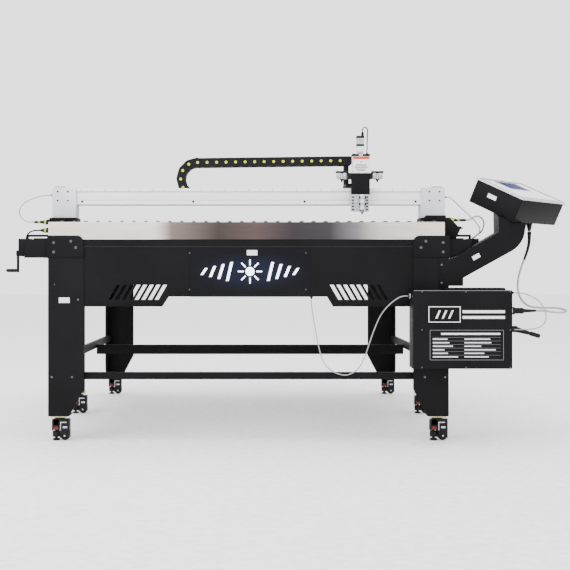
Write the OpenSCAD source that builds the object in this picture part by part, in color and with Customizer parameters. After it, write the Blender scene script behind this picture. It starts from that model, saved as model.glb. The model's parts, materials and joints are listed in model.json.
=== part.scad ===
// CNC plasma cutting table: slat bed, travelling gantry, torch head, console.
// Drawn as (x from the table's centre, y behind the front legs, z above the floor).

/* [Table] */
// Width over the legs
table_w = 1800; // [1700:10:2000]
// Depth over the legs
table_d = 1800; // [1700:10:2000]
// Height of the frame's top, where the tray rests
frame_top = 908; // [900:1:915]
// Height of the slat tips above the floor
slat_top = 992; // [980:1:993]
// Distance between slats
slat_pitch = 54; // [45:1:70]
// Thickness of the frame's sheet metal
sheet = 4; // [3:0.5:5]

/* [Legs] */
// Width of a leg's front face
leg_w = 160; // [140:5:180]
// Depth of a leg's side face
leg_d = 125; // [110:5:140]
// Width of a leg at its foot
leg_foot_w = 94; // [90:1:110]
// Height of the casters, from the floor to the feet of the legs
caster_h = 113; // [113:1:120]

/* [Gantry] */
// Width of a gantry pillar
pillar_w = 110; // [100:5:120]
// Height of the pillar tops
pillar_top = 1150; // [1147:1:1155]
// Place of the torch head along the gantry
head_x = 511; // [300:1:600]
// Height of the torch tip
torch_tip = 1022; // [1015:1:1030]

/* [Drag chain] */
// Height of a link
link_h = 42; // [30:1:44]
// Radius of the bend, at the middle of the links
bend_r = 76; // [70:1:80]
// Place of the bend's centre
bend_x = -240; // [-260:1:-150]
// Height of the bend's centre
bend_z = 1199; // [1195:1:1210]

/* [Console] */
// Length of the console's face
console_l = 400; // [350:5:420]
// Height of the console's face
console_w = 250; // [230:5:260]
// Thickness of the console
console_t = 117; // [100:1:117]
// Turn of the console towards the operator
console_yaw = 46.6; // [40:0.1:50]
// Tilt of the console's face
console_tilt = 25; // [20:0.5:28]

/* [Hidden] */
$fn = 48;
half_w = table_w/2;
leg_inner = half_w - leg_w;
tray_top = 986;
tray_left = 1 - half_w;
tray_right = half_w - 18;
tray_mid = (tray_left + tray_right)/2;
panel_low = 606.5;
panel_arch = 651;
rail_top = 898;
saddle_low = slat_top + 4;
saddle_t = 14;
pillar_low = saddle_low + saddle_t;
pillar_in = half_w - pillar_w;
beam_low = 1071;
beam_top = 1146;
beam_y = 100;
beam_back = 170;
guide_low = 1131;
guide_high = 1145;
chain_y = 192;
chain_w = 58;
upper_z = 1284;
lower_z = bend_z - bend_r;
chain_end = head_x - 38;
box_l = 721;
box_r = 1155;
box_low = 338;
box_high = 682;
box_front = -112;
trough_in = 1003;
trough_out = 1060;
trough_y = 110;
trough_low = 835;
trough_high = 915;
crank_z = 850;
crank_y = 180;
crank_drop = 81;
grip_tip = 1133;
caster_in = 45;
mid_leg_w = 110;
mid_leg_out = half_w + 50;
console_c = [1218, -58, 1090];
head_front = 56;
arm_y = -4;
arm_t = 102;
torch_x = 4;
torch_y = 36;
torch_r = 9;

// Directions of the console's long edge and of the way up its face
along = [cos(console_yaw), sin(console_yaw), 0];
reach_right = console_c[0] + along[0]*console_l - 1.2;
reach_front = -120;
reach_rear = table_d + 8;
origin_x = (reach_right - grip_tip)/2;
origin_y = (reach_rear + reach_front)/2;

// Places of the six casters
casters = [
  [-half_w + caster_in, caster_in], [half_w - caster_in, caster_in],
  [-mid_leg_out + 26, table_d/2], [mid_leg_out - 26, table_d/2],
  [-half_w + caster_in, table_d - caster_in], [half_w - caster_in, table_d - caster_in]];

// Routes of the cords
sign_route = [[707, -60, 655], [699, -60, 655], [691, -60, 655], [668, -55, 648], [631, -45, 620],
  [592, -36, 573], [563, -28, 508], [540, -22, 441], [519, -16, 378], [489, -10, 326], [442, -5, 300],
  [394, -2, 308], [357, 0, 332], [332, 4, 370], [313, 8, 439], [296, 13, 533], [286, 18, 600],
  [284, 20, 624], [284, 20, 632], [284, 20, 640]];
console_route = [[1300, 140, 952], [1300, 140, 940], [1300, 140, 928], [1299, 138, 906],
  [1289, 126, 868], [1269, 104, 826], [1247, 80, 784], [1229, 58, 742], [1219, 38, 700],
  [1221, 22, 660], [1238, 14, 627], [1268, 13, 607], [1306, 16, 601], [1346, 19, 600],
  [1378, 20, 600], [1407, 8, 596], [1419, -20, 590], [1407, -48, 584], [1378, -60, 582],
  [1348, -61, 584], [1318, -60, 589], [1300, -60, 590], [1287, -60, 590], [1274, -60, 590]];
jumper_route = [[1170, -85, 670], [1180, -85, 670], [1190, -85, 670], [1227, -85, 663], [1270, -85, 641],
  [1298, -85, 610], [1311, -85, 573], [1307, -85, 543], [1286, -85, 520], [1245, -85, 510],
  [1200, -85, 508], [1186, -85, 508], [1172, -85, 508]];
motor_route = [[9, 78, 1402], [9, 78, 1406], [9, 78, 1411], [13, 78, 1419], [21, 79, 1423],
  [29, 80, 1419], [33, 80, 1410], [33, 81, 1396], [32, 81, 1374], [31, 82, 1350], [31, 82, 1328],
  [30, 82, 1314], [30, 82, 1308], [30, 82, 1302], [30, 82, 1297]];
left_loop_route = [[-910, 108, 1115], [-916, 108, 1115], [-924, 108, 1115], [-957, 106, 1109],
  [-1000, 104, 1096], [-1031, 103, 1078], [-1049, 102, 1056], [-1052, 101, 1034], [-1044, 101, 1012],
  [-1026, 101, 996], [-1006, 101, 991], [-995, 101, 991], [-984, 101, 991]];
left_trough_route = [[-955, 101, 953], [-963, 101, 953], [-971, 101, 953], [-990, 106, 951],
  [-1008, 115, 945], [-1021, 127, 935], [-1029, 139, 921], [-1031, 147, 904], [-1031, 148, 892],
  [-1031, 148, 886], [-1031, 148, 880]];
right_pillar_route = [[910, 112, 1106], [916, 112, 1106], [922, 112, 1106], [947, 112, 1088],
  [973, 112, 1062], [1001, 112, 1036], [1030, 112, 1008], [1052, 113, 984], [1065, 117, 962],
  [1065, 125, 944], [1054, 135, 930], [1042, 143, 916], [1036, 147, 900], [1036, 147, 890],
  [1036, 147, 880]];
right_plug_route = [[997, 101, 1000], [1004, 101, 1000], [1011, 101, 1001], [1032, 101, 1013],
  [1054, 102, 1018], [1074, 105, 1006], [1083, 110, 984], [1080, 118, 962], [1072, 132, 944],
  [1056, 146, 932], [1040, 155, 918], [1031, 158, 900], [1030, 158, 890], [1030, 158, 880]];

// Colour, and the move from the table's own frame to the part's origin
module placed(tint) { color(tint) translate([-origin_x, -origin_y, 0]) children(); }

// The same shape on the right and on the left
module both_sides() { children(); mirror([1, 0, 0]) children(); }

// The same shape at the front and at the back
module both_ends() { children(); translate([0, table_d, 0]) mirror([0, 1, 0]) children(); }

// A box from its two corners
module span(low, high) { translate(low) cube(high - low); }

// An outline in x and z, given a thickness in y
module slab_xz(y_low, thick) {
  translate([0, y_low + thick, 0]) rotate([90, 0, 0]) linear_extrude(thick) children();
}

// An outline in y and z, given a length in x
module slab_yz(x_low, thick) {
  translate([x_low, 0, 0]) rotate([90, 0, 90]) linear_extrude(thick) children();
}

// Rounded rectangle from its lower left corner
module round_rect(w, h, r) {
  translate([r, 0]) square([w - 2*r, h]);
  translate([0, r]) square([w, h - 2*r]);
  for (x = [r, w - r], y = [r, h - r]) translate([x, y]) circle(r);
}

// Round bar along x, y or z from a point
module rod_x(p, r, length) { translate(p) rotate([0, 90, 0]) cylinder(r = r, h = length); }
module rod_y(p, r, length) { translate(p) rotate([-90, 0, 0]) cylinder(r = r, h = length); }
module rod_z(p, r, length) { translate(p) cylinder(r = r, h = length); }

// The console's own frame: x along its face, y up its face, z out of it
module in_console() { translate(console_c) rotate([console_tilt, 0, console_yaw]) children(); }

// Smooth curve through the points of a route
function bent(a, b, c, d, t) = 0.5*(2*b + (c - a)*t + (2*a - 5*b + 4*c - d)*t*t + (3*b - a - 3*c + d)*t*t*t);
function smooth(p, n) = let(e = len(p) - 1) concat(
  [for (i = [0:e - 1], j = [0:n - 1]) bent(p[max(i - 1, 0)], p[i], p[i + 1], p[min(i + 2, e)], j/n)], [p[e]]);
function unit(v) = v/norm(v);
function headings(p) = let(e = len(p) - 1) [for (i = [0:e]) unit(p[min(i + 1, e)] - p[max(i - 1, 0)])];
function carried(t, n, i) = i == len(t) ? [] :
  let(m = unit(n - t[i]*(n*t[i]))) concat([m], carried(t, m, i + 1));

// Tube of a cord along its route
module cord(route, d, sides, steps) {
  path = smooth(route, steps);
  ways = headings(path);
  sideways = carried(ways, [0.1, 1, 0.2], 0);
  rings = len(path);
  points = [for (i = [0:rings - 1], k = [0:sides - 1]) let(a = 360*k/sides)
    path[i] + d/2*(cos(a)*sideways[i] + sin(a)*cross(ways[i], sideways[i]))];
  walls = [for (i = [0:rings - 2], k = [0:sides - 1]) let(m = (k + 1)%sides)
    [i*sides + k, (i + 1)*sides + k, (i + 1)*sides + m, i*sides + m]];
  ends = [[for (k = [0:sides - 1]) k], [for (k = [sides - 1:-1:0]) (rings - 1)*sides + k]];
  polyhedron(points, concat(walls, ends));
}

// One leg of folded sheet, at the front right corner
module corner_leg() {
  difference() {
    span([leg_inner, 0, caster_h], [half_w, leg_d, frame_top]);
    span([leg_inner - 1, sheet, caster_h - 1], [half_w - sheet, leg_d + 1, frame_top + 1]);
    slab_xz(-1, leg_d + 2) polygon([[leg_inner - 1, caster_h - 1], [half_w - leg_foot_w, caster_h - 1],
      [leg_inner - 1, caster_h + 125]]);
    slab_yz(half_w - sheet - 1, sheet + 2) polygon([[leg_d + 1, caster_h - 1], [leg_foot_w, caster_h - 1],
      [leg_d + 1, caster_h + 60]]);
  }
  span([half_w - leg_foot_w, sheet/2, caster_h], [half_w - sheet/2, leg_foot_w - 4, caster_h + 6]);
}

// Leg halfway along the side, a channel on the outside of the frame
module middle_leg() {
  y0 = (table_d - mid_leg_w)/2;
  difference() {
    span([half_w, y0, caster_h], [mid_leg_out, y0 + mid_leg_w, 828]);
    span([half_w - 1, y0 + sheet, caster_h + 6], [mid_leg_out - sheet, y0 + mid_leg_w - sheet, 829]);
  }
}

module legs() { placed("#2b292c") both_sides() { both_ends() corner_leg(); middle_leg(); } }

// Outline of a corner bracket with its inner top corner rounded off
module bracket_outline() {
  difference() {
    translate([leg_inner, 828]) square([leg_w, 97]);
    translate([leg_inner - 1, 897]) square([31, 29]);
  }
  translate([leg_inner + 30, 897]) circle(28);
}

module corner_bracket() {
  slab_xz(-sheet, sheet) intersection() {
    bracket_outline();
    translate([leg_inner, 828]) square([leg_w, 97]);
  }
  span([half_w, -sheet, 828], [half_w + sheet, leg_d, 925]);
}

module corner_brackets() {
  placed("#2b292c") {
    both_sides() both_ends() corner_bracket();
  }
}

// Slanted vent slots, the inner end at the given x
vent_n = 8;
vent_pitch = 29.9;
vent_w = 17;
vent_slant = 38.5;
vent_low = 637;
vent_high = 704;
vent_in = 366;
module vents() {
  for (i = [0:vent_n - 1]) translate([vent_in + i*vent_pitch, 0]) polygon([
    [0, vent_high], [vent_w, vent_high], [vent_w + vent_slant, vent_low], [vent_slant, vent_low]]);
}

module front_panel() {
  placed("#242225") {
    slab_xz(sheet, 3) difference() {
      polygon([[-890, panel_low], [-387, panel_low], [-358, panel_arch], [353, panel_arch],
        [380, panel_low], [890, panel_low], [890, frame_top], [-890, frame_top]]);
      vents();
      mirror([1, 0]) vents();
    }
    span([-leg_inner + 1, 2.5, 879], [leg_inner - 1, sheet, frame_top]);
    span([-880, 6, frame_top - 3], [880, 30, frame_top]);
  }
}

module rear_side_panels() {
  placed("#242225") {
    span([-890, table_d - 7, 700], [890, table_d - sheet, frame_top]);
    both_sides() {
      span([half_w - sheet, leg_d, 700], [half_w, table_d - leg_d, frame_top]);
      span([half_w - 30, leg_d, 700], [half_w - sheet, table_d - leg_d, 704]);
    }
  }
}

// Stainless water tray with its rim, basin, drain and the bars that carry the slats
basin_in = 40;
basin_low = 858;
rest_top = 925;
module tray() {
  placed("#c9c7c2") {
    difference() {
      union() {
        span([tray_left, 1, frame_top], [tray_right, table_d - 1, tray_top]);
        span([tray_left + basin_in, basin_in, basin_low],
          [tray_right - basin_in, table_d - basin_in, frame_top + 1]);
        rod_z([0, table_d/2, basin_low - 30], 24, 31);
      }
      span([tray_left + 2, 3, frame_top + 2], [tray_right - 2, table_d - 3, tray_top + 1]);
      span([tray_left + basin_in + 2, basin_in + 2, basin_low + 2],
        [tray_right - basin_in - 2, table_d - basin_in - 2, frame_top + 3]);
      rod_z([0, table_d/2, basin_low - 31], 20, 40);
    }
    for (y = [22, table_d/2, table_d - 22])
      span([tray_left + 4, y - 14, frame_top + 2], [tray_right - 4, y + 14, rest_top]);
  }
}

// Slats with their ends folded over, an even number about the tray's middle
slat_half = floor((tray_right - tray_mid - 30)/slat_pitch + 0.5);
module slats() {
  placed("#8d8f94") for (i = [1 - slat_half:slat_half]) translate([tray_mid + (i - 0.5)*slat_pitch, 0, 0]) {
    span([-1.5, 8, rest_top], [1.5, table_d - 8, slat_top]);
    for (y = [8, table_d - 11]) span([-1.5, y, rest_top], [14, y + 3, slat_top]);
  }
}

module stretchers() {
  placed("#1f1d20") {
    span([-half_w + sheet, 25, 277], [half_w - sheet, 55, 308]);
    both_sides() span([half_w - 24, sheet, 329], [half_w - sheet, table_d - sheet, 369]);
    span([24 - half_w, 1199, 294], [half_w - 24, 1225, 347]);
  }
}

// Lit motif: a spark with rays between two runs of slanted bars
sign_mid = [7, 764];
module motif() {
  translate(sign_mid) {
    circle(20);
    for (a = [0:45:315]) rotate(a) translate([28, -3]) square([26, 6]);
    for (s = [-1, 1], i = [0:3]) translate([s*(92 + 38*i), 0])
      polygon([[-16, -42 + 9*i], [-4, -42 + 9*i], [16, 42 - 9*i], [4, 42 - 9*i]]);
  }
}

module sign_box() {
  placed("#e8f0ff") {
    slab_xz(1.5, 2.5) motif();
    span([-280, 7, 660], [300, 32, 870]);
  }
}

module y_rails() {
  placed("#a9abb0") both_sides() {
    span([half_w + 4.5, 20, 850], [half_w + 21, table_d - 20, 884]);
    span([half_w, leg_d + 5, 855], [half_w + 5, table_d - leg_d - 5, 880]);
    span([half_w + 6, 20, 884], [half_w + 20, table_d - 20, rail_top]);
    span([half_w + 21, 20, 864], [half_w + 33, table_d - 20, 876]);
  }
}

// Cable trough with a slot along its top, on the side towards +x
module trough() {
  difference() {
    span([trough_in, trough_y, trough_low], [trough_out, table_d, trough_high]);
    span([trough_in + 3, trough_y + 3, trough_low + 3], [trough_out - 3, table_d - 3, trough_high - 3]);
    span([trough_in + 16, trough_y + 20, trough_high - 4], [trough_out - 15, table_d - 20, trough_high + 1]);
  }
  for (y = [200, 880, 1560]) span([half_w, y, trough_low - 6], [trough_out - 6, y + 40, trough_low]);
  span([half_w + sheet, 14, 828], [trough_in + 3, 18, 910]);
  span([trough_in, 14, 838], [trough_in + 3, trough_y + 1, 910]);
}

module cable_troughs() {
  placed("#232124") {
    difference() {
      trough();
      slab_xz(arm_y, arm_t + 2) translate([0, 2]) arm_outline();
    }
    mirror([1, 0, 0]) difference() {
      trough();
      rod_x([trough_out - 4, crank_y, crank_z], 8, 8);
    }
  }
}

module control_case() {
  placed("#2a282b") {
    difference() {
      span([box_l, box_front, box_low], [box_r, -8, box_high]);
      span([box_l + 3, box_front - 1, box_low + 3], [box_r - 3, -11, box_high - 3]);
    }
    span([760, -8, 400], [880, 0, 640]);
    span([866, -104, box_high], [1128, -20, box_high + 10]);
  }
}

module control_cover() {
  placed("#2a282b") slab_xz(box_front - 5, 5)
    translate([box_l, box_low]) round_rect(box_r - box_l, box_high - box_low, 4);
}

// Cranked box arm from the right leg to the console, with a round elbow
elbow = [1125, 958];
elbow_r = 117;
module arm_outline() {
  polygon(concat([[half_w, 812], [half_w, 699], [964, 699], [964, 735]],
    [for (a = [-61:10:-1]) elbow + elbow_r*[cos(a), sin(a)]],
    [[1240, 1060], [1122, 1060], [1124, 941]]));
}

module console_arm() {
  placed("#2a282b") difference() {
    slab_xz(arm_y, arm_t) arm_outline();
    in_console() translate([-200, -200, -console_t]) cube([console_l + 400, console_w + 400, 400]);
  }
  placed("#2a282b") span([854, arm_y, 694], [half_w, 0, 826]);
}

module console_case() {
  placed("#2a282b") in_console() translate([0, 0, -console_t]) difference() {
    linear_extrude(console_t - 6) round_rect(console_l, console_w, 6);
    translate([3, 3, 3]) linear_extrude(console_t) round_rect(console_l - 6, console_w - 6, 4);
  }
}

screen_x = 105;
screen_y = 133;
screen_l = 190;
screen_w = 89;
module console_panel() {
  placed("#e9eaee") in_console() translate([0, 0, -6]) difference() {
    linear_extrude(6) round_rect(console_l, console_w, 6);
    translate([screen_x, screen_y, -1]) cube([screen_l, screen_w, 8]);
    translate([12, 12, 4]) linear_extrude(3) round_rect(console_l - 24, console_w - 24, 4);
  }
}

module console_screen() {
  placed("#1b2a5c") in_console() translate([screen_x, screen_y, -6]) cube([screen_l, screen_w, 3]);
}

// Bolt head on a face that looks to -y, +y or +x
module head_front_face(x, z, r, y) { rod_y([x, y - 3, z], r, 3); }
module head_rear_face(x, z, r, y) { rod_y([x, y, z], r, 3); }
module head_side_face(y, z, r, x) { rod_x([x, y, z], r, 5); }

bracket_bolts = [[874, 893], [874, 851], [775, 871], [797, 899]];
leg_bolts = [[883, 290], [792, 290]];
cover_screws = [[759, 345], [952, 345], [1145, 345], [759, 675], [952, 675], [1145, 675],
  [759, 509], [1145, 509]];
module fasteners() {
  placed("#3a383b") {
    both_sides() {
      for (b = bracket_bolts) {
        head_front_face(b[0], b[1], 7, -sheet);
        head_rear_face(b[0], b[1], 7, table_d + sheet);
      }
      for (b = leg_bolts) {
        head_front_face(b[0], b[1], 6, 0);
        head_rear_face(b[0], b[1], 6, table_d);
      }
      for (y = [60, table_d - 60]) head_side_face(y, 356, 8, half_w);
      head_side_face(table_d - 60, 761, 8, half_w);
      for (z = [250, 500, 760]) head_side_face(table_d/2, z, 8, mid_leg_out);
    }
    mirror([1, 0, 0]) head_side_face(60, 761, 8, half_w);
    for (z = [794, 712]) head_front_face(867, z, 6, arm_y);
    head_front_face(-765, 637, 6, 0);
    head_front_face(-870, 706, 4, 0);
    for (x = [-264, 258], z = [847, 683]) head_front_face(x, z, 4, sheet);
    for (s = cover_screws) head_front_face(s[0], s[1], 4, box_front - 5);
  }
}

module caster_plates() {
  placed("#b5a878") for (c = casters) difference() {
    span([c[0] - 35, c[1] - 35, caster_h - 6], [c[0] + 35, c[1] + 35, caster_h]);
    for (x = [-26, 26], y = [-26, 26]) rod_z([c[0] + x, c[1] + y, caster_h - 7], 4, 8);
  }
}

// Cable entries and sockets on the control box, the console and the sign
module glands() {
  placed("#1c1c1e") {
    rod_x([707, -60, 655], 8, box_l - 707);
    rod_x([box_r, -85, 670], 7, 15);
    rod_x([box_r, -60, 590], 16, 14);
    rod_x([box_r + 14, -60, 590], 13, 46);
    rod_x([box_r + 60, -60, 590], 8, 59);
    rod_x([box_r, -85, 508], 8, 17);
    rod_x([box_r, -40, 508], 15, 40);
    translate([box_r + 30, -40, 508]) rotate([0, 16, 0]) {
      rod_x([0, 0, 0], 8, 76);
      rod_x([70, 0, 0], 10, 46);
    }
    difference() {
      for (p = [[1300, 140], [1262, 100]]) rod_z([p[0], p[1], 952], 13, 70);
      in_console() translate([-200, -200, -console_t]) cube([console_l + 400, console_w + 400, 400]);
    }
    rod_z([284, 20, 640], 7, 20);
  }
}

module gantry_beam() {
  placed("#e6e6ea") difference() {
    span([-pillar_in, beam_y, beam_low], [pillar_in, beam_back, beam_top]);
    span([-pillar_in - 1, beam_y + 6, beam_low + 6], [pillar_in + 1, beam_back - 6, beam_top - 6]);
    for (x = [-764, -254, 257, 767]) rod_y([x, beam_y - 1, 1085], 5, 8);
  }
}

module gantry_pillars() {
  placed("#c9c9d2") both_sides() difference() {
    span([pillar_in, 90, pillar_low], [half_w, beam_back, pillar_top]);
    span([pillar_in + 8, 98, pillar_low - 1], [half_w - 8, beam_back + 1, pillar_top - 8]);
  }
}

// Carrier of one gantry end: plate, bearing, motor seat and the drag chain clamp in the trough
module saddle() {
  span([pillar_in - 3, 80, saddle_low], [half_w + 11, 190, pillar_low]);
  span([half_w + 3, 95, 926], [half_w + 11, 185, saddle_low]);
  span([half_w + 4.5, 95, rail_top + 0.4], [half_w + 21, 185, 927]);
  span([half_w + 11, 112, 912], [990, 164, 918]);
  span([half_w + 11, 166, 926], [1036, 184, 936]);
  span([1028, 166, 879], [1036, 184, 927]);
  span([1010, 136, 844], [1053, 190, 880]);
}

module saddles() {
  placed("#1d1c1e") {
    both_sides() saddle();
    slab_xz(80, 6) polygon([[half_w + 5, 914], [half_w + 48, 914], [half_w + 67, 952], [half_w + 67, 962],
      [half_w + 30, saddle_low + 4], [half_w + 5, saddle_low + 4]]);
    span([half_w + 3, 85, 926], [half_w + 11, 96, saddle_low]);
    span([tray_right + 4, 80, 927], [half_w + 4, 190, saddle_low]);
    slab_xz(80, 9.5) polygon([[803, 993], [903, 993], [903, 1021], [813, 1021], [803, 1011]]);
  }
}

// Gantry drive: motor lying across the table, its pinion on the rack
module y_motors() {
  placed("#151517") both_sides() {
    span([938, 115, 866], [996, 161, 912]);
    rod_x([930, 138, 889], 5, 10);
    rod_x([921.4, 138, 889], 12.9, 11.4);
  }
}

module x_rails() {
  placed("#8f9196") {
    span([2 - pillar_in, 91, guide_low], [pillar_in - 2, beam_y, guide_high]);
    span([2 - pillar_in, beam_back, guide_low], [pillar_in - 2, beam_back + 9, guide_high]);
  }
}

module chain_tray() {
  placed("#2a282b") {
    span([-half_w, chain_y - 4, 1098], [60, chain_y + chain_w + 6, 1101]);
    span([-half_w, chain_y + chain_w + 4, 1101], [60, chain_y + chain_w + 6, 1125]);
    for (x = [-760, -300, 20]) span([x, beam_back, 1098], [x + 30, chain_y - 4, 1104]);
    span([-14, chain_y + 4, 1101], [20, chain_y + chain_w - 4, lower_z - link_h/2]);
  }
}

// A straight run of the drag chain
module chain_run(x_low, x_high, z) {
  span([x_low, chain_y, z - link_h/2], [x_high, chain_y + chain_w, z + link_h/2]);
}
module chain_lower() { placed("#2d2630") chain_run(bend_x + 0.5, 0, lower_z); }
module chain_upper() {
  placed("#2d2630") slab_xz(chain_y, chain_w) polygon([
    [bend_x + 0.5, bend_z + bend_r - link_h/2], [chain_end, upper_z - link_h/2],
    [chain_end, upper_z + link_h/2], [bend_x + 0.5, bend_z + bend_r + link_h/2]]);
}

// Quarter of the drag chain's bend
module chain_quarter(z_low, z_high) {
  intersection() {
    difference() {
      rod_y([bend_x, chain_y, bend_z], bend_r + link_h/2, chain_w);
      rod_y([bend_x, chain_y - 1, bend_z], bend_r - link_h/2, chain_w + 2);
    }
    span([bend_x - 120, chain_y - 2, z_low], [bend_x, chain_y + chain_w + 2, z_high]);
  }
}
module chain_bend_upper() { placed("#2d2630") chain_quarter(bend_z + 0.4, bend_z + 120); }
module chain_bend_lower() { placed("#2d2630") chain_quarter(bend_z - 120, bend_z - 0.4); }

// Cable gland along +x from a point, with a nut and a tapered dome
module dome_gland(p, length) {
  translate(p) rotate([0, 90, 0]) rotate_extrude()
    polygon([[0, 0], [14, 0], [14, 11], [11, 13], [11, 18], [6, length], [0, length]]);
}

// Glands, plugs, caps and screws that travel with the gantry
left_glands = [991, 953];
right_glands = [1000, 965];
pillar_screws = [[875, 1130], [828, 1130], [875, 1089], [828, 1089]];
gland_x = half_w + 11;
module gantry_fittings() {
  placed("#202022") {
    mirror([1, 0, 0]) {
      for (z = left_glands) dome_gland([gland_x, 101, z], 44);
      rod_x([gland_x + 44, 101, 991], 5.5, 29);
      rod_x([half_w, 108, 1115], 6, 10);
    }
    for (z = right_glands) dome_gland([gland_x, 101, z], 44);
    rod_x([gland_x + 44, 101, 1000], 6, 42);
    rod_x([gland_x + 44, 101, 965], 7, 27);
    rod_x([half_w, 112, 1106], 6, 10);
    both_sides() {
      span([841, 100, pillar_top], [890, 160, pillar_top + 4]);
      for (s = pillar_screws) head_front_face(s[0], s[1], 4, 90);
    }
  }
}

// Head pieces are drawn about the head's own centre line
module on_head(tint) { placed(tint) translate([head_x, 0, 0]) children(); }

module x_carriage() {
  on_head("#1b1a1c") {
    difference() {
      span([-42, head_front, 1114], [41, 90, 1211]);
      span([-36, head_front + 6, 1120], [35, 84, 1212]);
    }
    span([-34, 89, 1108], [34, 99.5, guide_low - 0.6]);
    span([-34, 89, guide_high + 0.6], [34, 99.5, 1156]);
    span([-66, 88, 1155], [41, chain_y + 54, 1167]);
    span([-34, 180, 1114], [34, 190, 1156]);
    span([-34, 171, 1114], [34, 181, guide_low - 0.6]);
    span([-34, 171, guide_high + 0.6], [34, 181, 1156]);
    span([-64, chain_y + 4, 1166], [-42, chain_y + 54, upper_z - link_h/2 - 1]);
  }
}

module z_housing() {
  on_head("#d8d8dc") {
    difference() {
      span([-38, head_front, 1211], [39, 100, 1290]);
      span([-34, head_front - 1, 1215], [35, 96, 1286]);
      rod_z([-1.5, 78, 1280], 7, 12);
    }
    difference() {
      span([-38, 50, 1290], [39, 100, 1297]);
      rod_z([-1.5, 78, 1289], 7, 10);
    }
  }
}

module z_cover() { on_head("#e9e9ea") span([-38, 51, 1213], [39, head_front, 1288]); }

module z_motor() {
  on_head("#2a2a2c") {
    span([-19, 60.5, 1297], [16, 95.5, 1318]);
    span([-18, 61.5, 1318], [15, 94.5, 1360]);
    span([-19, 60.5, 1360], [16, 95.5, 1382]);
    span([3, 70, 1382], [15, 86, 1402]);
    rod_z([-1.5, 78, 1222], 4, 76);
  }
}

// Small side motor under its plate, centred at x
module wing(x) {
  span([x - 27, 58, 1213], [x + 27, 86, 1221]);
  rod_z([x - 13, 72, 1185], 12, 28);
  rod_z([x + 13, 72, 1185], 12, 28);
  translate([x, 72, 1171]) cylinder(r1 = 6, r2 = 11, h = 15);
}
module wing_motors() {
  on_head("#77777c") {
    wing(-85.5);
    wing(76.5);
    span([-60, 60, 1185], [-42, 84, 1213]);
    span([41, 60, 1185], [52, 84, 1213]);
  }
}

plate_y = 48;
module torch_plate() {
  on_head("#b9babf") difference() {
    union() {
      span([-46, plate_y, 1036], [36, head_front - 0.4, 1114]);
      for (z = [1062, 1092]) span([torch_x - 17, 25, z], [torch_x + 17, plate_y + 1, z + 13]);
    }
    rod_z([torch_x, torch_y, 1030], torch_r, 90);
  }
}

module torch_body() {
  on_head("#d6d6d9") {
    rod_z([torch_x, torch_y, 1044], torch_r, 68);
  }
}

module torch_nozzle() {
  on_head("#a8672e") translate([torch_x, torch_y, torch_tip]) rotate_extrude()
    polygon([[0, 0], [3, 0], [5.5, 8], [8, 12], [8, 22], [0, 22]]);
}

module crank_arm() {
  placed("#1c1c1e") mirror([1, 0, 0]) {
    rod_x([trough_out - 2.5, crank_y, crank_z], 7.6, 12);
    rod_x([trough_out + 0.5, crank_y, crank_z], 13, 24);
    slab_yz(trough_out + 14, 8) {
      translate([crank_y - 9, crank_z - crank_drop]) square([18, crank_drop]);
      translate([crank_y, crank_z - crank_drop]) circle(9);
    }
    rod_x([trough_out + 20, crank_y, crank_z - crank_drop], 4, grip_tip - trough_out - 22);
  }
}

module crank_grip() {
  placed("#111113") mirror([1, 0, 0]) translate([trough_out + 22.6, crank_y, crank_z - crank_drop])
    rotate([0, 90, 0]) rotate_extrude() polygon([[4.2, 0], [7, 0], [8.6, 10], [8.6, 42], [7, 50],
      [7, grip_tip - trough_out - 22.6], [4.2, grip_tip - trough_out - 22.6]]);
}

// Levelling caster: turning body with the wheel on one side, the pad and its dial on the other
wheel_r = 21;
wheel_off = 24;
pad_off = -16;
pad_r = 16;
module caster(n) {
  c = casters[n];
  placed("#19191b") translate([c[0], c[1], 0]) {
    rod_z([0, 0, caster_h - 16], 24, 9.7);
    difference() {
      span([-26, -15, 12], [46, 15, caster_h - 15]);
      span([pad_off - 18, -16, 11], [pad_off + 17.5, 16, 70]);
      span([pad_off + 17, -10.6, 11], [wheel_off + 23, 10.6, 48]);
    }
    rod_y([wheel_off, -14, wheel_r], 3.8, 28);
    rod_z([pad_off, 0, 7], 6, 64);
    rod_z([pad_off, 0, 0], pad_r, 8);
    difference() {
      rod_z([pad_off, 0, 48], 17, 16);
      rod_z([pad_off, 0, 47], 6.2, 18);
    }
  }
}

module wheel(n) {
  c = casters[n];
  placed("#222224") translate([c[0] + wheel_off, c[1], wheel_r]) difference() {
    rod_y([0, -9.5, 0], wheel_r, 19);
    rod_y([0, -10, 0], 4, 20);
  }
}

module sign_cable() { placed("#8f8f92") cord(sign_route, 5, 8, 3); }
module console_cable() { placed("#9a9a9c") cord(console_route, 9, 10, 3); }
module box_jumper() { placed("#7c7c80") cord(jumper_route, 5, 8, 4); }
module motor_cable() { placed("#222224") translate([head_x, 0, 0]) cord(motor_route, 5, 8, 4); }
module left_loop_cable() { placed("#8a8a8e") cord(left_loop_route, 5, 8, 3); }
module left_trough_cable() { placed("#1c1c1e") cord(left_trough_route, 7, 8, 3); }
module right_pillar_cable() { placed("#8a8a8e") cord(right_pillar_route, 5, 8, 3); }
module right_plug_cable() { placed("#1c1c1e") cord(right_plug_route, 7, 8, 3); }

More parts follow.
